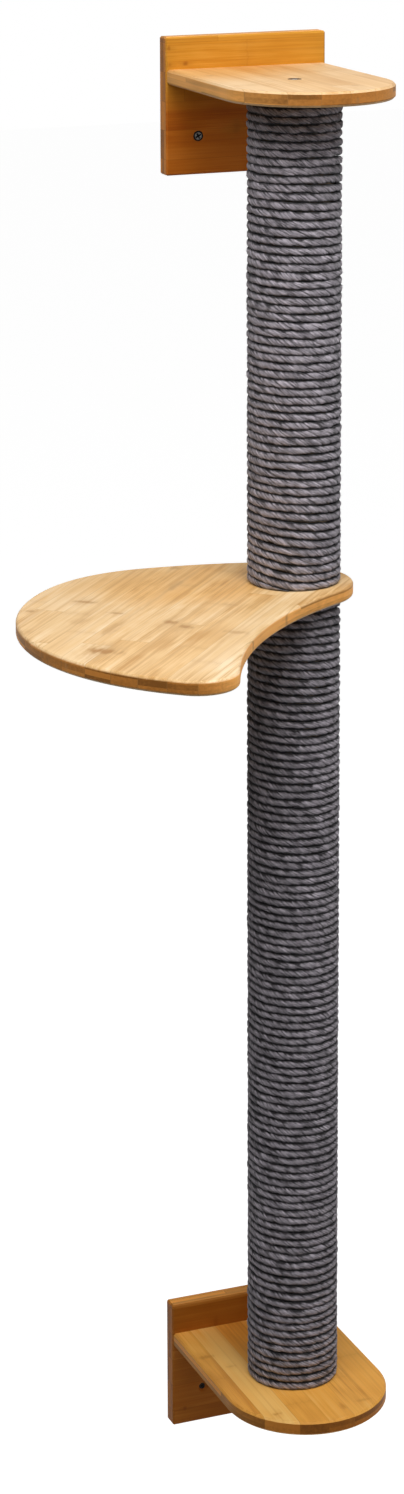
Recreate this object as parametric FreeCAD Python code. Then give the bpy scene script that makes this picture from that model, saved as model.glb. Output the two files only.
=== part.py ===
# Wall mounted cat tree: two bamboo brackets carry a rope-wound post, and a
# leaf-shaped platform is clamped between the post's lower and upper halves.
#
# Millimetres. Origin: centre of the bottom wall plate's rear face.
# +X to the right for someone who faces the wall, +Y into the wall, +Z up.

import FreeCAD, Part
import math
import os

# ---------------------------------------------------------------- dimensions
# brackets: a wall plate with a tongue-shaped shelf
plate_width = 166.0
plate_height = 133.0
plate_thickness = 16.0
plate_strip = 31.0          # height of plate above the shelf's top
shelf_width = 164.0
shelf_thickness = 14.0
post_to_wall = 133.0        # post axis to the wall
shelf_end_offset = 29.0     # centre of the shelf's round end, in front of the post's axis
plate_edge = 1.5            # eased edges
board_edge = 2.0

# post
rope_wound_t = 7.5          # thickness of the winding: 8 mm rope, flattened a little
tube_d = 75.0
tube_wall = 5.0
lower_length = 805.0
upper_length = 468.0
rope_end_gap = 0.3          # the winding stops just short of the boards

# platform: an outline of tangent arcs, anticlockwise from the round lobe about
# the post: shoulder, back edge, wall corner, far side, front tip; one concave
# arc then runs back to the lobe
platform_thickness = 14.0
lobe_r = 57.0
lobe_leaves = 27.0          # degrees, where the shoulder leaves the lobe
platform_arcs = [(113.5, 48.0), (490.0, 12.0), (149.0, 43.5), (223.0, 100.5), (37.0, 106.5)]
stud_bore_r = 4.1
stud_length = 50.0

# plugs and threaded inserts
plug_height = 30.0
insert_r = 6.0
insert_length = 20.0
stud_thread_r = 4.0         # M8
bolt_thread_r = 3.0         # M6

# bolts that hold the post's ends to the shelves
recess_r = 6.6
recess_depth = 6.5
bolt_head_r = 5.0
bolt_head_h = 5.0
bolt_length = 25.0
bolt_hex = 5.0              # across flats
bolt_hex_depth = 3.0
bolt_hole_r = 3.3
washer_r = 6.2
washer_t = 1.2

# screws from the back of each plate into its shelf
shelf_screw_x = 50.0
shelf_screw_r = 2.5
shelf_screw_length = 50.0
shelf_screw_head_r = 5.0

# holes for the wall screws
wall_hole_x = 50.0
wall_hole_height = 37.0     # above the plate's bottom edge
wall_hole_r = 2.75
wall_hole_sink_r = 5.5

# ------------------------------------------------------------------- heights
bottom_plate_z = -plate_height / 2
bottom_shelf_top = plate_height / 2 - plate_strip
platform_z = bottom_shelf_top + lower_length
upper_post_z = platform_z + platform_thickness
top_shelf_z = upper_post_z + upper_length
top_plate_z = top_shelf_z + shelf_thickness + plate_strip - plate_height
bottom_shelf_z = bottom_shelf_top - shelf_thickness

Vec = FreeCAD.Vector
UP = Vec(0, 0, 1)
FROM_WALL = Vec(0, -1, 0)
AXIS_Y = -post_to_wall


# ------------------------------------------------------------------- helpers
def on_axis(z):
    """A point on the post's axis."""
    return Vec(0, AXIS_Y, z)


def disc(radius, z, height):
    """A cylinder about the post's axis, from z up (or down, with a negative height)."""
    direction = UP if height > 0 else UP * -1
    return Part.makeCylinder(radius, abs(height), on_axis(z), direction)


def cut_all(solid, tools):
    for tool in tools:
        solid = solid.cut(tool)
    return solid


def pair(make, first, second):
    """Two separate solids, made from two sets of arguments."""
    return Part.makeCompound([make(*first), make(*second)])


# ------------------------------------------------------------ bracket joinery
def countersunk(head_r, shank_r, length, start, direction):
    """A countersunk screw, or the hole for one, from its head's flat face at start."""
    head_t = head_r - shank_r
    head = Part.makeCone(head_r, shank_r, head_t, start, direction)
    shank = Part.makeCylinder(shank_r, length - head_t, start + direction * head_t, direction)
    return head.fuse(shank)


def shelf_screw(x, shelf_z):
    """Screw from the plate's back into the end of the shelf, its head flush with the back."""
    start = Vec(x, 0, shelf_z + shelf_thickness / 2)
    return countersunk(shelf_screw_head_r, shelf_screw_r, shelf_screw_length, start, FROM_WALL)


def wall_screw_hole(x, plate_z):
    """Countersunk through hole for a screw into the wall."""
    front = Vec(x, -plate_thickness, plate_z + wall_hole_height)
    return countersunk(wall_hole_sink_r, wall_hole_r, plate_thickness, front, FROM_WALL * -1)


def wall_plate(plate_z, shelf_z):
    corner = Vec(-plate_width / 2, -plate_thickness, plate_z)
    board = Part.makeBox(plate_width, plate_thickness, plate_height, corner)
    softened = [edge for edge in board.Edges if edge.BoundBox.YMin < -plate_thickness / 2]
    board = board.makeChamfer(plate_edge, softened)
    tools = []
    for side in (-1, 1):
        tools.append(shelf_screw(side * shelf_screw_x, shelf_z))
        tools.append(wall_screw_hole(side * wall_hole_x, plate_z))
    return cut_all(board, tools)


def bolt_recess(face_z, inward):
    """Counterbored hole for a post bolt, from the shelf's outer face inwards."""
    hole = disc(bolt_hole_r, face_z, inward * shelf_thickness)
    return hole.fuse(disc(recess_r, face_z, inward * recess_depth))


def shelf(shelf_z, bolt_from_above):
    """Tongue: straight sides square to the wall and a half-round end."""
    half = shelf_width / 2
    back = -plate_thickness
    end = AXIS_Y - shelf_end_offset
    outline = Part.Wire([
        Part.makeLine(Vec(half, end, shelf_z), Vec(half, back, shelf_z)),
        Part.makeLine(Vec(half, back, shelf_z), Vec(-half, back, shelf_z)),
        Part.makeLine(Vec(-half, back, shelf_z), Vec(-half, end, shelf_z)),
        Part.Arc(Vec(-half, end, shelf_z), Vec(0, end - half, shelf_z),
                 Vec(half, end, shelf_z)).toShape(),
    ])
    board = Part.Face(outline).extrude(UP * shelf_thickness)
    softened = [edge for edge in board.Edges
                if edge.BoundBox.ZLength < 1 and edge.BoundBox.YMin < back - 1]
    board = board.makeChamfer(board_edge, softened)
    if bolt_from_above:
        recess = bolt_recess(shelf_z + shelf_thickness, -1)
    else:
        recess = bolt_recess(shelf_z, 1)
    screws = [shelf_screw(side * shelf_screw_x, shelf_z) for side in (-1, 1)]
    return cut_all(board, [recess] + screws)


# ------------------------------------------------------------------ fasteners
def hexagon(across_flats, z, height):
    corner_r = across_flats / math.sqrt(3)
    corners = [on_axis(z) + Vec(corner_r * math.cos(math.radians(60 * k)),
                                corner_r * math.sin(math.radians(60 * k)), 0)
               for k in range(6)]
    return Part.Face(Part.makePolygon(corners + corners[:1])).extrude(UP * height)


def washer(face_z, inward):
    """Washer on the floor of a bolt's recess."""
    floor = face_z + inward * recess_depth
    ring = disc(washer_r, floor, -inward * washer_t)
    return ring.cut(disc(bolt_hole_r, floor, -inward * washer_t))


def post_bolt(face_z, inward):
    """Socket-head bolt: its head sits on the washer, inside the shelf's recess."""
    under_head = face_z + inward * (recess_depth - washer_t)
    head_top = under_head - inward * bolt_head_h
    bolt = disc(bolt_head_r, under_head, -inward * bolt_head_h)
    bolt = bolt.fuse(disc(bolt_thread_r, under_head, inward * bolt_length))
    socket_z = min(head_top, head_top + inward * bolt_hex_depth)
    return bolt.removeSplitter().cut(hexagon(bolt_hex, socket_z, bolt_hex_depth))


def platform_stud():
    """Double-ended stud through the platform, as deep in both inserts."""
    middle = platform_z + platform_thickness / 2
    return disc(stud_thread_r, middle - stud_length / 2, stud_length)


# ----------------------------------------------------------------------- post
def threaded_insert(face_z, inward, thread_r):
    """Screw-in metal bush, flush with the plug's outer face."""
    depth = inward * insert_length
    return disc(insert_r, face_z, depth).cut(disc(thread_r, face_z, depth))


def end_plug(face_z, inward):
    """Wooden plug, flush with the tube's end, with a blind hole for its insert."""
    body = disc(tube_d / 2 - tube_wall, face_z, inward * plug_height)
    return body.cut(disc(insert_r, face_z, inward * insert_length))


def core_tube(z, length):
    return disc(tube_d / 2, z, length).cut(disc(tube_d / 2 - tube_wall, z, length))


def rope_winding(z, length):
    """Outer form of the closely wound rope."""
    sleeve = disc(tube_d / 2 + rope_wound_t, z + rope_end_gap, length - 2 * rope_end_gap)
    return sleeve.cut(disc(tube_d / 2, z, length))


# ------------------------------------------------------------------- platform
def arc_from(start, heading, radius, sweep):
    """Arc that leaves start along heading and turns left; radians throughout."""
    centre = start + Vec(-math.sin(heading), math.cos(heading), 0) * radius

    def at(turned_by):
        angle = heading - math.pi / 2 + turned_by
        return centre + Vec(math.cos(angle), math.sin(angle), 0) * radius

    return Part.Arc(start, at(sweep / 2), at(sweep)).toShape(), at(sweep)


def closing_arc(start, heading):
    """Concave arc from start that ends tangent to the lobe's outside."""
    right = Vec(math.sin(heading), -math.cos(heading), 0)
    radius = (start.dot(start) - lobe_r ** 2) / (2 * (lobe_r - start.dot(right)))
    centre = start + right * radius
    end = centre * (lobe_r / centre.Length)
    middle = (start + end) / 2 - centre
    middle = centre + middle * (radius / middle.Length)
    return Part.Arc(start, middle, end).toShape(), end


def platform_outline():
    """Closed chain of tangent arcs about the post's axis, anticlockwise."""
    angle = math.radians(lobe_leaves)
    lobe_start = Vec(math.cos(angle), math.sin(angle), 0) * lobe_r
    point, heading = lobe_start, angle + math.pi / 2
    edges = []
    for radius, degrees in platform_arcs:
        sweep = math.radians(degrees)
        edge, point = arc_from(point, heading, radius, sweep)
        edges.append(edge)
        heading += sweep
    edge, lobe_end = closing_arc(point, heading)
    edges.append(edge)
    middle = lobe_start + lobe_end
    middle = middle * (lobe_r / middle.Length)
    edges.append(Part.Arc(lobe_end, middle, lobe_start).toShape())
    return Part.Wire(edges)


def platform_board():
    board = Part.Face(platform_outline()).extrude(UP * platform_thickness)
    softened = [edge for edge in board.Edges if edge.BoundBox.ZLength < 1]
    board = board.makeChamfer(board_edge, softened)
    board.translate(on_axis(platform_z))
    return board.cut(disc(stud_bore_r, platform_z, platform_thickness))


# ------------------------------------------------------------------- assembly
def bracket(name, plate_z, shelf_z, bolt_from_above):
    """Wall plate, shelf, and what joins them to each other and to the post."""
    face_z = shelf_z + shelf_thickness if bolt_from_above else shelf_z
    inward = -1 if bolt_from_above else 1
    left, right = (-shelf_screw_x, shelf_z), (shelf_screw_x, shelf_z)
    return {
        name + "_wall_plate": wall_plate(plate_z, shelf_z),
        name + "_shelf": shelf(shelf_z, bolt_from_above),
        name + "_shelf_screws": pair(shelf_screw, left, right),
        name + "_post_bolt": post_bolt(face_z, inward),
        name + "_post_washer": washer(face_z, inward),
    }


def post(name, z, length, bottom_thread_r, top_thread_r):
    """Rope-wound tube with a plug and a threaded insert in each end."""
    bottom_end = (z, 1)
    top_end = (z + length, -1)
    return {
        name + "_post_tube": core_tube(z, length),
        name + "_rope": rope_winding(z, length),
        name + "_post_plugs": pair(end_plug, bottom_end, top_end),
        name + "_post_inserts": pair(threaded_insert, bottom_end + (bottom_thread_r,),
                                       top_end + (top_thread_r,)),
    }


nodes = {}
nodes.update(bracket("bottom", bottom_plate_z, bottom_shelf_z, False))
nodes.update(bracket("top", top_plate_z, top_shelf_z, True))
nodes.update(post("lower", bottom_shelf_top, lower_length, bolt_thread_r, stud_thread_r))
nodes.update(post("upper", upper_post_z, upper_length, stud_thread_r, bolt_thread_r))
nodes["platform"] = platform_board()
nodes["platform_stud"] = platform_stud()

os.makedirs("parts", exist_ok=True)
for name, shape in nodes.items():
    shape.exportStep("parts/" + name + ".step")
    print(name, "valid" if shape.isValid() else "NOT VALID", len(shape.Solids),
          round(shape.Volume / 1000, 2), "cm3")
print("platform top", platform_z + platform_thickness, "top shelf", top_shelf_z,
      "top plate", top_plate_z, "overall", top_plate_z + plate_height - bottom_plate_z)
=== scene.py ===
import math

import bmesh
import bpy
import numpy as np
from mathutils import Matrix, Vector


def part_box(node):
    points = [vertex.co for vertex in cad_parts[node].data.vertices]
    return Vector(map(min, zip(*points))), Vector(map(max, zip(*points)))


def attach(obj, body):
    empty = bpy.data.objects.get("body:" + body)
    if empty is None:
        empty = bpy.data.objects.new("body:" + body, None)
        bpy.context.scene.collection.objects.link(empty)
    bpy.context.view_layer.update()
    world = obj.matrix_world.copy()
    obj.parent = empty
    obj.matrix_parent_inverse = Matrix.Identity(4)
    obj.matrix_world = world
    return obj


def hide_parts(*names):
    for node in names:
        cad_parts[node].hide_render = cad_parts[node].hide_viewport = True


# Metres, in the part's own frame: +X right, +Y into the wall, +Z up.
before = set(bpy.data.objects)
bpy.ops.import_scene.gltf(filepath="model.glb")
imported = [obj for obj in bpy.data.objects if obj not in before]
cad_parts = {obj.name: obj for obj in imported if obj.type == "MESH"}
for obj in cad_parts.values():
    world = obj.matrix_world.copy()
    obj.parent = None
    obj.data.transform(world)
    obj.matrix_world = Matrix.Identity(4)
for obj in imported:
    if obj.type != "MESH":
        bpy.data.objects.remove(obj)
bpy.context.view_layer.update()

FIXED, SWINGING = "frame", "platform"      # the two bodies
MM = 0.001


# ------------------------------------------------------------------ measures
def middle(node):
    low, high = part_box(node)
    return (low + high) / 2


def size(node):
    low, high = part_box(node)
    return high - low


POST = middle("lower_rope")                # a point on the post's axis
PLATE_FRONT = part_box("top_wall_plate")[0].y
PLATE_BACK = 0.0

WALL_SCREW_X = 50 * MM
WALL_SCREW_HEIGHT = 37 * MM                # above a plate's bottom edge
WALL_SCREW_R = 2.6 * MM
WALL_SCREW_SHORT = 0.5 * MM                # how far its tip stays inside the plate's back
# how deep the heads lie, and their radius: less is seen of the bottom plate's
WALL_SCREW_HEADS = {"top": (0.3 * MM, 5.15 * MM), "bottom": (2.2 * MM, 3.2 * MM)}

# a little less than the CAD screws, which they stand for
SHELF_SCREW_X = 50 * MM
SHELF_SCREW_SUNK = 0.1 * MM
SHELF_SCREW_HEAD_R = 4.925 * MM
SHELF_SCREW_R = 2.425 * MM
SHELF_SCREW_LENGTH = 49.7 * MM


# ------------------------------------------------------------- material kit
class Nodes:
    """Short names for building a material's node tree."""

    def __init__(self, name):
        self.material = bpy.data.materials.new(name)
        self.material.use_nodes = True
        self.tree = self.material.node_tree
        self.shader = self.tree.nodes["Principled BSDF"]

    def add(self, kind, settings=(), **inputs):
        node = self.tree.nodes.new("ShaderNode" + kind)
        for key, value in dict(settings).items():
            setattr(node, key, value)
        for key, value in inputs.items():
            self.feed(node, key.replace("_", " "), value)
        return node

    def feed(self, node, socket, value):
        """Links or sets one input, named or numbered."""
        target = node.inputs[int(socket[1:])] if socket[:1] == "#" else node.inputs[socket]
        if isinstance(value, bpy.types.NodeSocket):
            self.tree.links.new(value, target)
        elif hasattr(target.default_value, "__len__") and len(target.default_value) == 4:
            target.default_value = (*value, 1) if len(value) == 3 else value
        else:
            target.default_value = value

    def math(self, operation, a, b=0.0, clamp=False):
        node = self.add("Math", {"operation": operation, "use_clamp": clamp})
        self.feed(node, "#0", a)
        self.feed(node, "#1", b)
        return node.outputs[0]

    def vector(self, operation, a, b=(0, 0, 0)):
        node = self.add("VectorMath", {"operation": operation})
        self.feed(node, "#0", a)
        self.feed(node, "#1", b)
        return node.outputs["Value" if operation in ("LENGTH", "DISTANCE") else "Vector"]

    def combine(self, x=0.0, y=0.0, z=0.0):
        return self.add("CombineXYZ", X=x, Y=y, Z=z).outputs[0]

    def split(self, vector):
        return self.add("SeparateXYZ", Vector=vector).outputs

    def noise(self, vector, scale=1.0, detail=2.0, rough=0.5):
        node = self.add("TexNoise", Vector=vector, Scale=scale, Detail=detail, Roughness=rough)
        return node.outputs["Fac"]

    def white(self, vector):
        """A random number from 0 to 1 that belongs to the vector."""
        node = self.add("TexWhiteNoise", {"noise_dimensions": "3D"}, Vector=vector)
        return node.outputs["Value"]

    def sway(self, value, noise, weight):
        """The value moved up and down by a noise from 0 to 1."""
        away = self.math("MULTIPLY", self.math("SUBTRACT", noise, 0.5), weight)
        return self.math("ADD", value, away)

    def remap(self, value, low, high, to_low=0.0, to_high=1.0, smooth=False):
        shape = "SMOOTHSTEP" if smooth else "LINEAR"
        node = self.add("MapRange", {"interpolation_type": shape}, Value=value)
        for socket, number in (("From Min", low), ("From Max", high),
                               ("To Min", to_low), ("To Max", to_high)):
            self.feed(node, socket, number)
        return node.outputs[0]

    def fade(self, distance, reach, strength=1.0, start=0.0):
        """Strength as far as start, falling smoothly to nothing at reach."""
        return self.remap(distance, start, reach, strength, 0.0, smooth=True)

    def mix(self, factor, a, b, blend="MIX"):
        node = self.add("Mix", {"data_type": "RGBA", "blend_type": blend})
        self.feed(node, "#0", factor)
        self.feed(node, "#6", a)
        self.feed(node, "#7", b)
        return node.outputs[2]

    def ramp(self, value, *stops):
        node = self.add("ValToRGB", Fac=value)
        elements = node.color_ramp.elements
        while len(elements) < len(stops):
            elements.new(0.5)
        for element, (position, colour) in zip(elements, stops):
            element.position = position
            element.color = (*colour, 1)
        return node.outputs[0]

    def bump(self, height, strength, distance):
        node = self.add("Bump", Height=height, Strength=strength, Distance=distance)
        self.feed(self.shader, "Normal", node.outputs[0])

    def finish(self, colour, roughness, **constants):
        """Feeds colour and roughness, and sets the shader's constant sockets."""
        self.feed(self.shader, "Base Color", colour)
        self.feed(self.shader, "Roughness", roughness)
        for key, value in constants.items():
            self.shader.inputs[key.replace("_", " ")].default_value = value
        return self.material


def scaled(colour, factor):
    return tuple(factor * c for c in colour)


# -------------------------------------------------------------------- bamboo
STRIP = 28 * MM                 # width of one glued strip
STRIP_LENGTH = 360 * MM
LAYER = 4.7 * MM                # thickness of one layer of strips
STRIP_WAVE = 1.2 * MM           # how much the strips' borders wander
STRIP_TONES = 0.4               # how much the strips' tones differ
SEAM_WIDTH = 0.018              # a glue line's reach, as a share of the strip's width
JOINT_WIDTH = 0.0016            # a butt joint's, as a share of the strip's length
SEAM_DARKNESS = 0.3
WARM_TINT = (0.98, 0.84, 0.6)   # of some strips
END_GRAIN_TINT = (0.5, 0.4, 0.28)
# painted shade: the near black on the walls of a bolt's recess
BORE_SHADE = (0.035, 0.02, 0.012)


def strip_plan(n, board, offset, seed):
    """The lane a point is in, the lane's number, the place along it, and its strip's key."""
    wobble = n.noise(n.vector("MULTIPLY", board, (3, 12, 3)), 1.0, 1.0)
    along, across, depth = n.split(board)
    across = n.sway(across, wobble, STRIP_WAVE)
    lane = n.math("DIVIDE", n.math("ADD", across, offset), STRIP)
    lane_index = n.math("FLOOR", lane)
    layer_index = n.math("FLOOR", n.math("DIVIDE", depth, LAYER))
    start = n.white(n.combine(lane_index, layer_index, seed))
    start = n.math("MULTIPLY", start, STRIP_LENGTH)
    run = n.math("DIVIDE", n.math("ADD", along, start), STRIP_LENGTH)
    key = n.combine(lane_index, n.math("FLOOR", run), n.math("ADD", layer_index, seed))
    return lane, lane_index, run, key


def cane_nodes(n, colour, board, run, key, grain, marks, mid, deep):
    """The colour with the cane's nodes on it, and how strong they are at each point.

    Each strip has one faint node of its own; the marks are added to them.
    """
    at = n.white(n.vector("ADD", key, (3.7, 1.9, 8.3)))
    at = n.math("ADD", n.math("MULTIPLY", at, 0.6), 0.2)
    wave = n.noise(n.vector("MULTIPLY", board, (60, 260, 60)), 1.0, 2.0)
    off = n.sway(n.math("SUBTRACT", n.math("FRACT", run), at), wave, 0.03)
    off = n.math("ABSOLUTE", off)
    ring = n.math("MAXIMUM", n.fade(off, 0.006, 0.24), n.fade(off, 0.035, 0.12))
    stain = tuple(0.45 * a + 0.5 * b for a, b in zip(mid, deep))
    cos, sin = math.cos(math.radians(grain)), math.sin(math.radians(grain))
    for x, y, across, along, strength in marks:
        away = n.vector("SUBTRACT", board, (x * cos + y * sin, y * cos - x * sin, 0))
        away = n.vector("MULTIPLY", away, (1 / along, 1 / across, 0))
        core = n.sway(n.vector("LENGTH", away), wave, 1.6)
        ring = n.math("MAXIMUM", ring, n.fade(core, 1.25, strength, start=0.1))
        tail = n.vector("LENGTH", n.vector("MULTIPLY", away, (0.25, 0.8, 0)))
        tail = n.sway(tail, wave, 1.4)
        colour = n.mix(n.fade(tail, 1.2, 0.75 * strength, start=0.1), colour, stain)
    return n.mix(ring, colour, scaled(deep, 0.88)), ring


def bamboo(name, pale, mid, deep, edge, grain, offset=0.0, marks=(), upright=False,
           tinted_oval=None, strips=None, contrast=1.0, seed=0.0):
    """Laminated bamboo: strips along the grain, each of its own tone, with node marks.

    grain is the strips' heading in degrees, in plan or, upright, up the wall;
    offset moves their borders across it; marks are (x, y, across, along, strength):
    a place in the board's plane and the mark's size across and along the grain;
    warmer is (x, y, wide, tall, tint), an oval within which the colour is
    multiplied by the tint; strips gives some strips, counted across the grain, a
    tone of their own. The boards' cut sides take the edge colour.
    """
    n = Nodes(name)
    place = n.add("TexCoord").outputs["Object"]
    if upright:
        x, y, z = n.split(place)
        place = n.combine(x, z, y)
    board = n.add("VectorRotate", {"rotation_type": "Z_AXIS"}, Vector=place,
                  Angle=-math.radians(grain)).outputs[0]
    side, end_grain, bore = (n.add("Attribute", {"attribute_name": key}).outputs["Fac"]
                             for key in ("side", "end_grain", "bore"))
    lane, lane_index, run, key = strip_plan(n, board, offset, seed)
    tone = n.white(key)
    tint = n.white(n.vector("ADD", key, (17.3, 5.1, 9.7)))
    own = n.vector("ADD", board, n.vector("MULTIPLY", n.combine(tone, tint, tone), (3, 3, 3)))

    def drawn_out(along, across, detail, rough=0.5):
        """The strip's own noise, in waves per metre along and across the grain."""
        stretched = n.vector("MULTIPLY", own, (along, across, across))
        return n.noise(stretched, 1.0, detail, rough)

    fibres = drawn_out(22, 1300, 3.0, 0.6)
    veins = drawn_out(7, 380, 2.0, 0.55)
    bands = drawn_out(2.2, 150, 2.0)
    clouds = drawn_out(9, 55, 2.0)
    patches = n.noise(n.vector("MULTIPLY", board, (14, 30, 14)), 1.0, 2.0, 0.6)
    streaks = n.remap(drawn_out(4, 230, 1.0), 0.54, 0.72)
    lively = n.remap(drawn_out(6, 22, 1.0), 0.35, 0.65, 0.4, 1.4)

    # the strip's tone, and its figure, which is stronger in some places than in others
    coarse = n.sway(0.0, tone, STRIP_TONES * contrast)
    for index, shift in (strips or {}).items():
        lanes_away = n.math("ABSOLUTE", n.math("SUBTRACT", lane_index, index))
        here = n.math("LESS_THAN", lanes_away, 0.5)
        coarse = n.math("ADD", coarse, n.math("MULTIPLY", here, shift))
    figure = 0.0
    for part, weight in ((fibres, 0.9), (veins, 0.85), (bands, 0.7), (clouds, 1.1),
                         (patches, 0.9)):
        figure = n.sway(figure, part, weight * contrast)
    value = n.math("ADD", coarse, n.math("MULTIPLY", figure, lively))
    value = n.math("ADD", value, 0.5, clamp=True)
    colour = n.ramp(value, (0.0, deep), (0.5, mid), (1.0, pale))
    warm = tuple(a * b for a, b in zip(mid, WARM_TINT))
    colour = n.mix(n.math("MULTIPLY", tint, 0.4), colour, warm)
    streak = tuple(0.4 * a + 0.6 * b for a, b in zip(mid, deep))
    colour = n.mix(n.math("MULTIPLY", streaks, 0.48 * contrast), colour, streak)
    # within the oval the colour is multiplied by the tint, darker and warmer; on the top plate
    # this is painted shade under the shelf
    if tinted_oval:
        x, y, wide, tall, tinge = tinted_oval
        away = n.vector("SUBTRACT", place, (x, y, 0))
        away = n.vector("LENGTH", n.vector("MULTIPLY", away, (1 / wide, 1 / tall, 0)))
        colour = n.mix(n.fade(away, 1.0, start=0.4), colour, tinge, "MULTIPLY")

    # cut sides: darker, most of all where the strips' ends show; their edge colours are partly
    # the wood's own and partly painted light and shade, set to how these faces turn to the light
    for part, weight in (veins, 0.9), (patches, 0.9), (tone, 0.6):
        coarse = n.sway(coarse, part, weight)
    sides = n.mix(n.math("ADD", coarse, 0.5, clamp=True), scaled(edge, 0.55), scaled(edge, 1.3))
    sides = n.mix(end_grain, sides, END_GRAIN_TINT, "MULTIPLY")
    colour = n.mix(side, colour, sides)

    # the glue line between strips, and the butt joint where one strip follows another
    seam = n.fade(n.math("PINGPONG", lane, 0.5), SEAM_WIDTH, SEAM_DARKNESS)
    joint = n.fade(n.math("PINGPONG", run, 0.5), JOINT_WIDTH, SEAM_DARKNESS)
    seam = n.math("MAXIMUM", seam, joint)
    seam = n.math("MULTIPLY", seam, n.math("ADD", n.math("MULTIPLY", side, 0.8), 1.0))
    colour = n.mix(seam, colour, scaled(deep, 0.62))

    colour, ring = cane_nodes(n, colour, board, run, key, grain, marks, mid, deep)
    # painted shade on the walls of the bolt's recess
    colour = n.mix(bore, colour, BORE_SHADE)

    height = n.math("SUBTRACT", n.math("MULTIPLY", fibres, 0.5), n.math("MULTIPLY", seam, 0.8))
    height = n.math("SUBTRACT", height, n.math("MULTIPLY", ring, 0.4))
    n.bump(height, 0.35, 0.12 * MM)
    roughness = n.remap(n.math("ADD", fibres, veins), 0.6, 1.4, 0.44, 0.6)
    return n.finish(colour, roughness, Specular_IOR_Level=0.12)


# ---------------------------------------------------------------------- rope
ROPE_CHARCOAL = (0.29, 0.264, 0.294)
STRANDS = 3


def fibre_material(name):
    """The rope's loose fibres, which catch more light than it does."""
    n = Nodes(name)
    shade = n.noise(n.add("TexCoord").outputs["Object"], 900.0, 2.0)
    colour = n.mix(shade, scaled(ROPE_CHARCOAL, 0.7), scaled(ROPE_CHARCOAL, 2.2))
    return n.finish(colour, 0.8, Specular_IOR_Level=0.2)


def rope_material(name):
    """Dyed twisted fibre, with painted shade between the strands and between the turns.

    The mesh carries coordinates along and round the rope in "strand", and in
    "crest" how far each point stands out from the winding.
    """
    n = Nodes(name)
    strand = n.add("Attribute", {"attribute_name": "strand"}).outputs["Vector"]
    crest = n.add("Attribute", {"attribute_name": "crest"}).outputs["Fac"]
    run, across, upward = n.split(strand)
    fibres = n.noise(n.vector("MULTIPLY", strand, (130, 2300, 2300)), 1.0, 3.0, 0.65)
    clumps = n.noise(n.vector("MULTIPLY", strand, (160, 700, 700)), 1.0, 2.0, 0.6)
    lengths = n.noise(n.vector("MULTIPLY", strand, (16, 60, 60)), 1.0, 2.0, 0.5)
    dashes = n.noise(n.vector("MULTIPLY", strand, (75, 0, 0)), 1.0, 1.0)

    value = n.sway(0.0, fibres, 1.2)
    value = n.sway(value, clumps, 1.15)
    value = n.sway(value, lengths, 0.5)
    value = n.math("ADD", value, 0.5, clamp=True)
    colour = n.ramp(value, (0.0, scaled(ROPE_CHARCOAL, 0.3)), (0.5, ROPE_CHARCOAL),
                    (1.0, scaled(ROPE_CHARCOAL, 2.6)))
    # painted shade: near black for the crevices between the strands and the grooves between the
    # turns
    shade_black = scaled(ROPE_CHARCOAL, 0.05)
    turned = n.math("MULTIPLY", n.math("ARCTAN2", upward, across), STRANDS / 2)
    lobe = n.math("ABSOLUTE", n.math("COSINE", turned))
    crevice = n.math("ADD", lobe, n.math("MULTIPLY", clumps, 0.3))
    crevice = n.fade(crevice, 0.6, start=0.2)
    colour = n.mix(n.math("MULTIPLY", crevice, 0.28), colour, shade_black)
    # painted shade in the grooves between the turns, uneven in dashes
    groove_shade = n.sway(crest, clumps, 0.7)
    groove_shade = n.sway(groove_shade, dashes, 0.75)
    colour = n.mix(n.fade(groove_shade, 1.02, 0.98, start=0.62), colour, shade_black)

    height = n.math("ADD", fibres, n.math("MULTIPLY", clumps, 1.6))
    height = n.math("SUBTRACT", height, n.math("MULTIPLY", crevice, 1.2))
    n.bump(height, 0.9, 0.5 * MM)
    return n.finish(colour, 0.88, Specular_IOR_Level=0.2, Sheen_Weight=0.2,
                    Sheen_Roughness=0.5)


def wander(rng, count, spread):
    """Random values, mostly within -1 to 1, smoothed over some stations."""
    reach = int(3 * spread)
    kernel = np.exp(-0.5 * (np.arange(-reach, reach + 1) / spread) ** 2)
    raw = rng.standard_normal(count + 2 * reach)
    line = np.convolve(raw, kernel, "valid")
    return line / (line.std() * 1.6)


STEP = 0.2               # share of a turn in which the rope first climbs onto the next one
STEP_GROWS = 1.1         # that share grows so with each turn, up to a whole turn


def lift(turns):
    """Level, in pitches, after some turns from an end: flat first, then stepping up."""
    whole = np.floor(turns)
    reach = np.minimum(STEP * STEP_GROWS ** np.clip(whole, 0, 60), 1)
    step = np.clip((turns - whole - (1 - reach)) / reach, 0, 1)
    eased_step = step * step * (3 - 2 * step)
    return np.where(turns < 0, 0, whole + reach * step + (1 - reach) * eased_step)


def with_caps(rings):
    """All rings' points in one list, and after them the middles of the two end rings."""
    return np.concatenate([rings.reshape(-1, 3), rings[:1].mean(1), rings[-1:].mean(1)])


def grid_mesh(name, rings, section):
    """Closed tube from rings of points, with a cap on each end."""
    count = len(rings)
    vertices = with_caps(rings)
    ring, spot = np.meshgrid(np.arange(count - 1), np.arange(section), indexing="ij")
    following = (spot + 1) % section
    sides = np.stack([ring * section + spot, ring * section + following,
                      (ring + 1) * section + following, (ring + 1) * section + spot], -1)
    faces = sides.reshape(-1, 4).tolist()
    first, last = count * section, count * section + 1
    for k in range(section):
        after = (k + 1) % section
        faces.append([first, after, k])
        faces.append([last, (count - 1) * section + k, (count - 1) * section + after])
    mesh = bpy.data.meshes.new(name)
    mesh.from_pydata(vertices.tolist(), [], faces)
    mesh.polygons.foreach_set("use_smooth", [True] * len(mesh.polygons))
    return mesh


def add_object(name, mesh, material, body):
    """A piece of the part, on one body, with a slot for its finish."""
    made = bpy.data.objects.new(name, mesh)
    bpy.context.scene.collection.objects.link(made)
    mesh.materials.append(material)
    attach(made, body)
    return made


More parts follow.
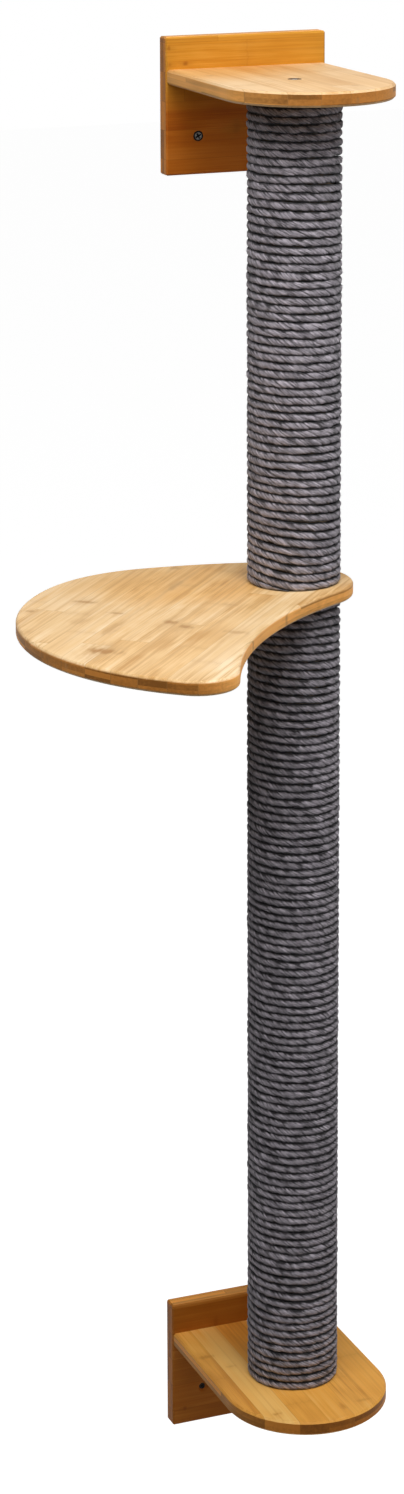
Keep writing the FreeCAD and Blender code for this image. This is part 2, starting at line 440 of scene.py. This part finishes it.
TWIST_LENGTH = 34 * MM          # one full turn of the three strands
BACK_POINTS = 2                 # section points against the tube
HALF_FRONT = 122                # degrees that the other points reach to each side
END_GAP = 0.4 * MM              # between the winding and the board at each end
TAIL = 0.85                     # a cut tail's length, as a share of the first step
LOBE_DEPTH = 0.13               # of the crevice between two strands, and the yarn's
GRIT = 0.03                     # roughness, as shares of the rope's half thickness
PROUD = 0.18 * MM               # how much the turns wander outwards and inwards
OFF_TUBE = 0.05 * MM


def section_angles(points):
    """Angles round the rope: close together outside, few against the tube."""
    low, high = math.radians(HALF_FRONT), math.radians(360 - HALF_FRONT)
    front = np.linspace(-low, low, points - BACK_POINTS)
    back = np.linspace(low, high, BACK_POINTS + 2)[1:-1]
    return np.concatenate([front, back])


def wound_rope(name, sleeve, tube, turns, per_turn, section, start, material, seed):
    """The rope as wound: flat first and last turns, uneven height, twisted strands.

    Stations run up from the lower end at azimuth start, per_turn of them in each
    turn, with section points round the rope at each. Beyond both ends is a tail,
    cut to fit under the turn that climbs over it.
    """
    rng = np.random.default_rng(seed)
    low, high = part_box(sleeve)
    outer, inner = size(sleeve).x / 2, size(tube).x / 2
    half_thick = (outer - inner) / 2
    pitch = (high.z - low.z) / (turns + 1)
    tail = round(TAIL * STEP * per_turn)
    count = round(turns * per_turn) + 2 * tail + 1
    turn = (np.arange(count) - tail) / per_turn
    left = turns - turn
    level = np.where(turn < turns / 2, lift(turn), turns - lift(left))
    azimuth = start - 2 * math.pi * turn
    run = np.arange(count) * 2 * math.pi * (inner + half_thick) / per_turn

    # thickness, height and twist that change over short and over long stretches
    radial = half_thick * (1 + 0.06 * wander(rng, count, 1.2) + 0.04 * wander(rng, count, 6))
    upright = pitch / 2 * (1 + 0.1 * wander(rng, count, 1.3) + 0.04 * wander(rng, count, 5))
    height = low.z + pitch / 2 + level * pitch
    height = height + 0.28 * MM * wander(rng, count, 1.6) + 0.2 * MM * wander(rng, count, 9)
    proud = PROUD * wander(rng, count, 3)
    twist = 2 * math.pi * run / TWIST_LENGTH + 1.2 * wander(rng, count, 8)

    theta = section_angles(section)
    turned = theta[None] - twist[:, None]
    lobe = np.abs(np.cos(STRANDS / 2 * turned)) ** 0.75
    grit = rng.standard_normal((count, section)) * GRIT
    reach = (1 - LOBE_DEPTH * (1 - lobe)) * (1 + (grit + np.roll(grit, 1, 0)) / 1.4)
    # a superellipse: pressed by its neighbours, and flat against the tube
    cos, sin = np.cos(theta), np.sin(theta)
    power = np.where(cos > 0, 2.8, 5.0)
    full = (np.abs(cos) ** power + np.abs(sin) ** power) ** (-1 / power)
    out, up = (full * cos)[None], (full * sin)[None]
    from_axis = inner + half_thick + proud[:, None] + radial[:, None] * reach * out
    from_axis = np.maximum(from_axis, inner + OFF_TUBE)
    z = height[:, None] + upright[:, None] * reach * up
    # a tail stays under the turn that climbs over it, or at the top over it
    under = low.z + lift(turn + 1) * pitch - 0.1 * MM
    over = high.z - lift(left + 1) * pitch + 0.1 * MM
    z = np.where((turn < 0)[:, None], np.minimum(z, under[:, None]), z)
    z = np.where((left < 0)[:, None], np.maximum(z, over[:, None]), z)
    z = np.clip(z, low.z + END_GAP, high.z - END_GAP)
    rings = np.stack([POST.x + from_axis * np.cos(azimuth)[:, None],
                      POST.y + from_axis * np.sin(azimuth)[:, None], z], -1)
    mesh = grid_mesh(name, rings, section)

    strand = np.stack([np.broadcast_to(run[:, None], turned.shape),
                       half_thick * np.cos(turned), half_thick * np.sin(turned)], -1)
    crest = np.append(np.broadcast_to(out, turned.shape).reshape(-1), (0.3, 0.3))
    mesh.attributes.new("strand", "FLOAT_VECTOR", "POINT").data.foreach_set(
        "vector", with_caps(strand).astype(np.float32).ravel())
    mesh.attributes.new("crest", "FLOAT", "POINT").data.foreach_set(
        "value", crest.astype(np.float32))
    made = add_object(name, mesh, material, FIXED)
    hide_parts(sleeve)
    return azimuth, from_axis, z


def rope_fuzz(name, winding, count, material, seed):
    """Loose fibre ends that stand off the rope: thin closed spikes, slightly bent."""
    rng = np.random.default_rng(seed)
    azimuth, from_axis, z = winding
    stations, section = from_axis.shape
    at = rng.integers(2, stations - 3, count)
    spot = rng.integers(1, section - BACK_POINTS - 1, count)
    angle = azimuth[at]
    outward = np.stack([np.cos(angle), np.sin(angle), np.zeros(count)], -1)
    along = np.stack([np.sin(angle), -np.cos(angle), np.zeros(count)], -1)
    root = np.stack([POST.x + from_axis[at, spot] * np.cos(angle),
                     POST.y + from_axis[at, spot] * np.sin(angle), z[at, spot]], -1)
    lean = rng.uniform(-1, 1, count)[:, None]
    rise = rng.uniform(-0.7, 0.7, count)[:, None]
    length = rng.uniform(1.4, 4.2, count)[:, None] * MM
    first = outward * rng.uniform(0.25, 0.8, count)[:, None] + along * lean * 1.4
    first = first + np.array([0, 0, 1]) * rise * 0.6
    first /= np.linalg.norm(first, axis=1)[:, None]
    bend = along * lean - outward * 0.35 + np.array([0, 0, 1]) * rise
    spine = [root - outward * 0.4 * MM, root + first * length * 0.5,
             root + first * length + bend * length * 0.4]
    thick = rng.uniform(0.045, 0.08, count)[:, None] * MM
    side = np.cross(first, outward + np.array([0.01, 0, 0.3]))
    side /= np.linalg.norm(side, axis=1)[:, None]
    other = np.cross(first, side)
    corners = []
    for ring, width in ((0, 1.0), (1, 0.75)):
        for k in range(3):
            turn = 2 * math.pi * k / 3
            offset = side * math.cos(turn) + other * math.sin(turn)
            corners.append(spine[ring] + offset * thick * width)
    corners.append(spine[2])
    points = np.stack(corners, 1)
    per_hair = points.shape[1]
    pattern = [(0, 2, 1)]
    for k in range(3):
        after = (k + 1) % 3
        pattern += [(k, after, 3 + after, 3 + k), (3 + k, 3 + after, 6)]
    faces = [tuple(per_hair * i + k for k in face) for i in range(count) for face in pattern]
    mesh = bpy.data.meshes.new(name)
    mesh.from_pydata(points.reshape(-1, 3).tolist(), [], faces)
    return add_object(name, mesh, material, FIXED)


# -------------------------------------------------------------------- boards
BORE_REACH = 8 * MM             # walls nearer to the post's axis are a bolt's recess
BOARD_CORNER, STEEL_CORNER = 20, 30     # degrees from which an edge is rounded over


def eased(node, name, width, material, body, corner=BOARD_CORNER, grain=None):
    """The CAD piece with its facets joined and its edges rounded over.

    A board is given its strips' direction, and marks its cut sides, the ends of
    its strips and the walls of its bore for the material.
    """
    bm = bmesh.new()
    bm.from_mesh(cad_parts[node].data)
    bmesh.ops.remove_doubles(bm, verts=bm.verts, dist=1e-6)
    bmesh.ops.dissolve_limit(bm, angle_limit=math.radians(0.3), verts=bm.verts, edges=bm.edges)
    sharp = [edge for edge in bm.edges
             if len(edge.link_faces) == 2
             and edge.calc_face_angle(0) > math.radians(corner)]
    bmesh.ops.bevel(bm, geom=sharp, offset=width, segments=3, profile=0.5,
                    affect="EDGES", clamp_overlap=True)
    for face in bm.faces:
        face.smooth = True
    mesh = bpy.data.meshes.new(name)
    bm.to_mesh(mesh)
    bm.free()
    if grain:
        flat = int(np.argmin(size(node)))       # the axis across the board
        marked = {"side": [], "end_grain": [], "bore": []}
        for face in mesh.polygons:
            steep = 1 - abs(face.normal[flat])
            from_axis = (face.center - POST).to_2d().length
            marked["side"].append(float(np.clip(1.8 * steep - 0.5, 0, 1)))
            marked["end_grain"].append(abs(face.normal.dot(Vector(grain))))
            marked["bore"].append(float(flat == 2 and steep > 0.5 and from_axis < BORE_REACH))
        for key, values in marked.items():
            mesh.attributes.new(key, "FLOAT", "FACE").data.foreach_set("value", values)
    made = add_object(name, mesh, material, body)
    made.modifiers.new("even_normals", "WEIGHTED_NORMAL")
    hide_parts(node)
    return made


# -------------------------------------------------------------------- screws
def screw_mesh(bm, head_r, shank_r, length, placed):
    """Countersunk screw along -Z from its head's face at 0, with a cross recess."""
    around, rings = 72, 14                  # points round the head, rings over its face
    arm, wide, sunk = 0.62 * head_r, 0.15 * head_r, 0.42 * head_r       # the recess

    def depth(x, y):
        """How far the recess goes down at a point of the head."""
        best = 0.0
        for u, v in ((abs(x), abs(y)), (abs(y), abs(x))):
            inside = min((arm - u) / (0.25 * arm), (wide - v) / (0.5 * wide), 1.0)
            best = max(best, min(inside, 1.0) * (1 - 0.45 * u / arm))
        return sunk * max(best, 0.0)

    loops = []
    for ring in range(1, rings + 1):
        r = head_r * 0.97 * ring / rings
        loop = []
        for k in range(around):
            angle = 2 * math.pi * k / around
            x, y = r * math.cos(angle), r * math.sin(angle)
            loop.append((x, y, -depth(x, y)))
        loops.append(loop)

    def circle(r, z):
        angles = (2 * math.pi * k / around for k in range(around))
        return [(r * math.cos(angle), r * math.sin(angle), z) for angle in angles]

    cone = head_r - shank_r
    for r, z in ((head_r, -0.05 * head_r), (head_r, -0.12 * head_r),
                 (shank_r, -0.12 * head_r - cone), (shank_r, -length)):
        loops.append(circle(r, z))
    centre = bm.verts.new(placed @ Vector((0, 0, -depth(0, 0))))
    tip = bm.verts.new(placed @ Vector((0, 0, -length)))
    made = [[bm.verts.new(placed @ Vector(p)) for p in loop] for loop in loops]
    for k in range(around):
        after = (k + 1) % around
        bm.faces.new((centre, made[0][k], made[0][after]))
        bm.faces.new((tip, made[-1][after], made[-1][k]))
        for a, b in zip(made, made[1:]):
            bm.faces.new((a[k], b[k], b[after], a[after]))


def screws(name, spots, facing, head_r, shank_r, length, material, turn, stands_for=None,
           steel_middle=None):
    """Several screws in one piece; facing is +1 if their heads look along +Y.

    turn is how far the first one's cross is turned; the last argument is the material of the
    heads' flat middle, in the steel's own grey, and round it the screws' material is painted
    shade.
    """
    bm = bmesh.new()
    for index, spot in enumerate(spots):
        tilt = Matrix.Rotation(-facing * math.pi / 2, 4, "X")
        spin = Matrix.Rotation(turn + 0.9 * index, 4, "Z")
        screw_mesh(bm, head_r, shank_r, length, Matrix.Translation(spot) @ tilt @ spin)
    bmesh.ops.recalc_face_normals(bm, faces=bm.faces)
    for face in bm.faces:
        face.smooth = True
    mesh = bpy.data.meshes.new(name)
    bm.to_mesh(mesh)
    bm.free()
    made = add_object(name, mesh, material, FIXED)
    if steel_middle:
        mesh.materials.append(steel_middle)
        for face in mesh.polygons:
            away = min((face.center - Vector(spot) for spot in spots), key=lambda v: v.length)
            in_middle = away.length < 0.7 * head_r and abs(away.y) < 0.03 * head_r
            face.material_index = int(in_middle)
    made.modifiers.new("corners", "EDGE_SPLIT").split_angle = math.radians(32)
    if stands_for:
        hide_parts(stands_for)
    return made


GRIME = 0.35                    # how much darker the steel's dull spots are


def steel_material(name, tint, roughness=0.3):
    """Plated or blackened steel, dull in spots and finely brushed. The wall screws' dark one is
    painted shade.
    """
    n = Nodes(name)
    place = n.add("TexCoord").outputs["Object"]
    spots = n.noise(place, 420.0, 4.0, 0.6)
    brushed = n.noise(n.vector("MULTIPLY", place, (900, 900, 5200)), 1.0, 2.0)
    colour = n.mix(n.remap(spots, 0.35, 0.7), scaled(tint, 1 - GRIME), tint)
    n.bump(brushed, 0.15, 0.05 * MM)
    rough = n.remap(spots, 0.3, 0.7, roughness + 0.18, roughness)
    return n.finish(colour, rough, Metallic=1.0)


SPIRAL_PITCH = 0.11             # of the cardboard's seam


def cardboard_material():
    """Spiral-wound paperboard: a helical seam and short fibres."""
    n = Nodes("cardboard")
    place = n.vector("SUBTRACT", n.add("TexCoord").outputs["Object"], (POST.x, POST.y, 0))
    x, y, z = n.split(place)
    turn = n.math("DIVIDE", n.math("ARCTAN2", y, x), 2 * math.pi)
    seam = n.math("PINGPONG", n.math("ADD", n.math("DIVIDE", z, SPIRAL_PITCH), turn), 0.5)
    line = n.fade(seam, 0.008, 0.6)
    fibre = n.noise(place, 1400.0, 4.0, 0.65)
    colour = n.ramp(fibre, (0.3, (0.42, 0.31, 0.2)), (0.7, (0.62, 0.49, 0.34)))
    colour = n.mix(line, colour, (0.2, 0.14, 0.09))
    n.bump(n.math("SUBTRACT", fibre, line), 0.4, 0.1 * MM)
    return n.finish(colour, 0.9)


def plug_material():
    """Plain softwood with growth rings seen on its end."""
    n = Nodes("plug_wood")
    pith = (POST.x - 0.02, POST.y + 0.05, 0)
    place = n.vector("SUBTRACT", n.add("TexCoord").outputs["Object"], pith)
    rings = n.add("TexWave", {"wave_type": "RINGS", "rings_direction": "Z"}, Vector=place,
                  Scale=60.0, Distortion=1.6, Detail=2.0).outputs["Fac"]
    pores = n.noise(n.vector("MULTIPLY", place, (900, 900, 60)), 1.0, 2.0)
    value = n.math("ADD", n.math("MULTIPLY", rings, 0.6), n.math("MULTIPLY", pores, 0.4))
    colour = n.ramp(value, (0.2, (0.6, 0.42, 0.24)), (0.8, (0.8, 0.63, 0.42)))
    n.bump(value, 0.3, 0.1 * MM)
    return n.finish(colour, 0.7)


# --------------------------------------------------------------- the object
# The cane nodes that the photograph shows, one by one: (x, y, across, along, strength).
# On the horizontal boards x and y are mm from the post's axis, on the plates x and z in mm.
PLATFORM_MARKS = [
    (-255, -163, 19, 9.0, 1.0), (-213, 2, 13, 5.0, 0.7), (-199, -48, 10, 4.0, 0.6),
    (-164, -96, 8, 7.0, 0.9), (-158, -115, 8, 6.0, 0.8), (-122, -150, 13, 6.0, 0.45),
    (-271, -10, 7, 4.0, 0.6), (-88, 87, 8, 6.0, 0.5), (-222, -95, 6, 26.0, 0.42),
    (-115, 22, 5, 26.0, 0.4), (-240, -60, 10, 14.0, 0.25), (-90, -60, 8, 3.0, 0.35),
]
BOTTOM_SHELF_MARKS = [
    (16, -88, 3.5, 8.0, 0.5), (40, -84, 10, 3.0, 0.35), (-50, -78, 5, 3.0, 0.55),
    (-70, 58, 9, 4.0, 0.5), (-54, 30, 5, 2.5, 0.3),
]
TOP_SHELF_MARKS = [(-62, 56, 6, 3.0, 0.4), (30, -70, 9, 3.0, 0.25)]
TOP_PLATE_MARKS = [(-63, 1342, 2.6, 3.0, 0.8), (-80, 1357, 3.0, 2.0, 0.7),
                   (-79, 1341, 3.0, 2.0, 0.5), (-10, 1277, 9, 5.0, 0.4)]
BOTTOM_PLATE_MARKS = [(-70, -50, 3.0, 2.5, 0.7), (-35, 40, 8, 3.0, 0.35)]


def about_post(marks):
    return [(POST.x + x * MM, POST.y + y * MM, across * MM, along * MM, strength)
            for x, y, across, along, strength in marks]


def on_wall(marks):
    return [(x * MM, z * MM, across * MM, along * MM, strength)
            for x, z, across, along, strength in marks]


# each board's colours, as they differ in the photograph, with painted shade in two: the top
# shelf's are a darker copy of the platform's, the bottom plate's of the top plate's
HONEY = dict(pale=(0.98, 0.77, 0.51), mid=(0.85, 0.585, 0.3), deep=(0.52, 0.27, 0.09),
             edge=(0.92, 0.44, 0.115))
# painted shade: the platform's colours darkened against the stronger light at the top shelf
SHADED_HONEY = dict(pale=(0.90, 0.68, 0.43), mid=(0.75, 0.51, 0.275), deep=(0.48, 0.24, 0.08),
             edge=(0.72, 0.345, 0.092))
AMBER = dict(pale=(1.0, 0.62, 0.2), mid=(0.92, 0.455, 0.09), deep=(0.56, 0.22, 0.035),
             edge=(0.78, 0.33, 0.06))
ORANGE = dict(pale=(0.70, 0.37, 0.065), mid=(0.55, 0.245, 0.024), deep=(0.36, 0.12, 0.01),
              edge=(1.0, 0.46, 0.105))
# painted shade: the top plate's colours darkened, as the lower bracket gets less light
SHADED_ORANGE = dict(pale=(0.52, 0.20, 0.03), mid=(0.38, 0.125, 0.012), deep=(0.25, 0.065, 0.004),
              edge=(0.78, 0.32, 0.055))

PLATFORM_GRAIN = 48.0           # degrees from +X towards +Y
platform_wood = bamboo(
    "bamboo_platform", grain=PLATFORM_GRAIN, offset=9 * MM, contrast=1.15, seed=4.0,
    marks=about_post(PLATFORM_MARKS),
    tinted_oval=(POST.x - 0.09, POST.y + 0.03, 0.15, 0.1, (0.95, 0.82, 0.6)), **HONEY)
top_shelf_wood = bamboo(
    "bamboo_top_shelf", grain=90.0, offset=8 * MM, contrast=0.8, seed=11.0,
    marks=about_post(TOP_SHELF_MARKS),
    tinted_oval=(POST.x - 0.06, POST.y + 0.13, 0.14, 0.15, (0.92, 0.72, 0.45)), **SHADED_HONEY)
bottom_shelf_wood = bamboo(
    "bamboo_bottom_shelf", grain=90.0, offset=-8 * MM, contrast=0.7, seed=7.0,
    marks=about_post(BOTTOM_SHELF_MARKS),
    strips={2: -0.12, 1: 0.24, 0: -0.08, -1: 0.1, -2: -0.1, -3: 0.08},
    tinted_oval=(POST.x + 0.01, POST.y + 0.12, 0.1, 0.12, (0.8, 0.68, 0.55)), **AMBER)
# its oval is painted shade on the plate below the shelf
top_plate_wood = bamboo(
    "bamboo_top_plate", grain=0.0, offset=10 * MM, upright=True, contrast=0.9, seed=2.0,
    marks=on_wall(TOP_PLATE_MARKS),
    tinted_oval=(0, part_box("top_wall_plate")[0].z + 0.028, 0.6, 0.065, (0.86, 0.54, 0.4)), **ORANGE)
bottom_plate_wood = bamboo(
    "bamboo_bottom_plate", grain=0.0, offset=22 * MM, upright=True, contrast=0.9, seed=5.0,
    marks=on_wall(BOTTOM_PLATE_MARKS), **SHADED_ORANGE)

SHELF_EASING, PLATE_EASING = 0.9 * MM, 0.7 * MM
ALONG_PLATFORM = (math.cos(math.radians(PLATFORM_GRAIN)),
                  math.sin(math.radians(PLATFORM_GRAIN)), 0)
ALONG_SHELF, ALONG_PLATE = (0, 1, 0), (1, 0, 0)
for node, body, material, easing, grain in (
        ("platform", SWINGING, platform_wood, SHELF_EASING, ALONG_PLATFORM),
        ("top_shelf", FIXED, top_shelf_wood, SHELF_EASING, ALONG_SHELF),
        ("bottom_shelf", FIXED, bottom_shelf_wood, SHELF_EASING, ALONG_SHELF),
        ("top_wall_plate", FIXED, top_plate_wood, PLATE_EASING, ALONG_PLATE),
        ("bottom_wall_plate", FIXED, bottom_plate_wood, PLATE_EASING, ALONG_PLATE)):
    eased(node, node + "_board", easing, material, body, grain=grain)

rope = rope_material("rope_charcoal")
loose_fibre = fibre_material("rope_fibre")
# about as many turns as the photograph shows; the azimuths are of the windings' lower ends,
# of which the camera sees the upper winding's alone
UPPER_TURNS, LOWER_TURNS = 58.3, 102.13
UPPER_START, LOWER_START = math.radians(-180), math.radians(60)
upper = wound_rope("upper_rope_winding", "upper_rope", "upper_post_tube", UPPER_TURNS,
                   per_turn=124, section=13, start=UPPER_START, material=rope, seed=31)
lower = wound_rope("lower_rope_winding", "lower_rope", "lower_post_tube", LOWER_TURNS,
                   per_turn=96, section=10, start=LOWER_START, material=rope, seed=32)
rope_fuzz("upper_rope_fuzz", upper, count=2200, material=loose_fibre, seed=41)
rope_fuzz("lower_rope_fuzz", lower, count=3600, material=loose_fibre, seed=42)

zinc = steel_material("zinc_steel", (0.55, 0.55, 0.56))
# painted shade: the wall screws' dark heads, as shaded in their countersinks
screw_shade_steel = steel_material("screw_shade_steel", (0.02, 0.016, 0.013), roughness=0.45)
grey_head_steel = steel_material("grey_head_steel", (0.26, 0.25, 0.24), roughness=0.4)
black_steel = steel_material("black_steel", (0.03, 0.028, 0.026), roughness=0.45)
# a painted highlight for the middle of the bolts' black heads
bolt_highlight_steel = steel_material("bolt_highlight_steel", (0.8, 0.8, 0.8), roughness=0.35)
yellow_zinc = steel_material("yellow_zinc", (0.62, 0.55, 0.38))
cardboard = cardboard_material()
plug_wood = plug_material()

BOLT_HIGHLIGHT_R = 3.2 * MM        # a painted highlight within this, in the middle of the bolts' heads
for bracket, (sunk, head_r) in WALL_SCREW_HEADS.items():
    plate_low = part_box(bracket + "_wall_plate")[0].z
    shelf_mid = middle(bracket + "_shelf").z
    # the wall screws' heads are painted shade, round a grey middle on the top ones and all over
    # on the bottom ones
    screws(bracket + "_wall_screws",
           [(side * WALL_SCREW_X, PLATE_FRONT + sunk, plate_low + WALL_SCREW_HEIGHT)
            for side in (-1, 1)],
           -1, head_r, WALL_SCREW_R, -PLATE_FRONT - sunk - WALL_SCREW_SHORT, screw_shade_steel,
           turn=0.5, steel_middle=grey_head_steel if bracket == "top" else None)
    screws(bracket + "_shelf_screws_made",
           [(side * SHELF_SCREW_X, PLATE_BACK - SHELF_SCREW_SUNK, shelf_mid)
            for side in (-1, 1)],
           1, SHELF_SCREW_HEAD_R, SHELF_SCREW_R, SHELF_SCREW_LENGTH, zinc,
           turn=0.4, stands_for=bracket + "_shelf_screws")
    bolt = eased(bracket + "_post_bolt", bracket + "_bolt", 0.25 * MM, black_steel, FIXED,
                 STEEL_CORNER)
    # the middle of each bolt's head is a painted highlight
    bolt.data.materials.append(bolt_highlight_steel)
    for face in bolt.data.polygons:
        corners = (bolt.data.vertices[k].co - POST for k in face.vertices)
        face.material_index = int(max(v.to_2d().length for v in corners) < BOLT_HIGHLIGHT_R)
    eased(bracket + "_post_washer", bracket + "_washer", 0.15 * MM, zinc, FIXED,
          STEEL_CORNER)

CARRIED_OVER = {
    "platform_stud": zinc,
    "lower_post_tube": cardboard, "upper_post_tube": cardboard,
    "lower_post_plugs": plug_wood, "upper_post_plugs": plug_wood,
    "lower_post_inserts": yellow_zinc, "upper_post_inserts": yellow_zinc,
}
for node, material in CARRIED_OVER.items():
    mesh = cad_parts[node].data
    mesh.materials.clear()
    mesh.materials.append(material)


# ------------------------------------------------------------ floor and light
def seen_only(tree, strength):
    """The strength for camera, glossy and transmission rays, and nothing for the others."""
    path = tree.nodes.new("ShaderNodeLightPath")
    total = path.outputs["Is Camera Ray"]
    for ray in ("Is Glossy Ray", "Is Transmission Ray"):
        add = tree.nodes.new("ShaderNodeMath")
        add.operation = "MAXIMUM"
        tree.links.new(total, add.inputs[0])
        tree.links.new(path.outputs[ray], add.inputs[1])
        total = add.outputs[0]
    times = tree.nodes.new("ShaderNodeMath")
    times.operation = "MULTIPLY"
    times.inputs[1].default_value = strength
    tree.links.new(total, times.inputs[0])
    return times.outputs[0]


FLOOR_DROP = 0.55               # floor below the bottom plate
FLOOR_HALF = 14.0
FLOOR_GREY = (0.55, 0.55, 0.55)
FLOOR_GLOW = 0.95


def floor():
    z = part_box("bottom_wall_plate")[0].z - FLOOR_DROP
    mesh = bpy.data.meshes.new("floor")
    corners = [(-FLOOR_HALF, -FLOOR_HALF, z), (FLOOR_HALF, -FLOOR_HALF, z),
               (FLOOR_HALF, FLOOR_HALF, z), (-FLOOR_HALF, FLOOR_HALF, z)]
    mesh.from_pydata(corners, [], [(0, 1, 2, 3)])
    made = bpy.data.objects.new("floor", mesh)
    bpy.context.scene.collection.objects.link(made)
    n = Nodes("floor_white")
    tree = n.tree
    n.finish(FLOOR_GREY, 1.0, Specular_IOR_Level=0.0)
    glow = n.add("Emission", Strength=seen_only(tree, FLOOR_GLOW))
    both = n.add("AddShader")
    tree.links.new(n.shader.outputs[0], both.inputs[0])
    tree.links.new(glow.outputs[0], both.inputs[1])
    tree.links.new(both.outputs[0], tree.nodes["Material Output"].inputs["Surface"])
    mesh.materials.append(n.material)


AMBIENT = 0.06                  # the world as a light; what is seen of it is white, 1


def surroundings():
    world = bpy.data.worlds.new("studio")
    bpy.context.scene.world = world
    world.use_nodes = True
    tree = world.node_tree
    back = tree.nodes["Background"]
    back.inputs["Color"].default_value = (1, 1, 1, 1)
    seen = seen_only(tree, 1 - AMBIENT)
    total = tree.nodes.new("ShaderNodeMath")
    total.operation = "ADD"
    total.inputs[1].default_value = AMBIENT
    tree.links.new(seen, total.inputs[0])
    tree.links.new(total.outputs[0], back.inputs["Strength"])


LAMP_SIDE = 1.2
AIM = (0, POST.y, 0.7)
LAMPS = {                       # place, point aimed at, watts
    "overhead": ((-0.2, -1.3, 2.6), AIM, 32),
    "left": ((-1.5, -0.9, 2.5), AIM, 19),
    "right": ((1.3, -0.9, 2.5), AIM, 9),
    "low_right": ((1.9, -1.6, 0.7), (0, POST.y, 0.3), 8.5),
}


def area_light(name, place, target, watts):
    data = bpy.data.lights.new(name, "AREA")
    data.shape = "RECTANGLE"
    data.size = data.size_y = LAMP_SIDE
    data.energy = watts
    lamp = bpy.data.objects.new(name, data)
    lamp.location = place
    aim = Vector(target) - Vector(place)
    lamp.rotation_euler = aim.to_track_quat("-Z", "Y").to_euler()
    bpy.context.scene.collection.objects.link(lamp)


floor()
surroundings()
for lamp, (place, target, watts) in LAMPS.items():
    area_light(lamp, place, target, watts)


# -------------------------------------------------------------------- camera
CAMERA_PLACE = (-1.2913, -3.1159, 1.7084)
CAMERA_YAW = 21.869             # degrees, from +Y towards +X
CAMERA_PITCH = 11.339           # degrees, downwards
CAMERA_ROLL = -0.193
LENS = 84.277                   # for 36 mm along the picture's long side
SHIFT_Y = -0.25                 # the picture's middle is below the lens's axis


def camera():
    yaw, pitch, roll = map(math.radians, (CAMERA_YAW, CAMERA_PITCH, CAMERA_ROLL))
    ahead = Vector((math.sin(yaw) * math.cos(pitch), math.cos(yaw) * math.cos(pitch),
                    -math.sin(pitch)))
    right = ahead.cross(Vector((0, 0, 1))).normalized()
    up = right.cross(ahead)
    right, up = (math.cos(roll) * right + math.sin(roll) * up,
                 math.cos(roll) * up - math.sin(roll) * right)
    data = bpy.data.cameras.new("camera")
    data.sensor_width = 36.0
    data.lens = LENS
    data.shift_y = SHIFT_Y
    made = bpy.data.objects.new("camera", data)
    made.matrix_world = Matrix((
        (right.x, up.x, -ahead.x, CAMERA_PLACE[0]),
        (right.y, up.y, -ahead.y, CAMERA_PLACE[1]),
        (right.z, up.z, -ahead.z, CAMERA_PLACE[2]),
        (0, 0, 0, 1)))
    bpy.context.scene.collection.objects.link(made)
    bpy.context.scene.camera = made


camera()
bpy.context.scene.view_settings.view_transform = "Standard"
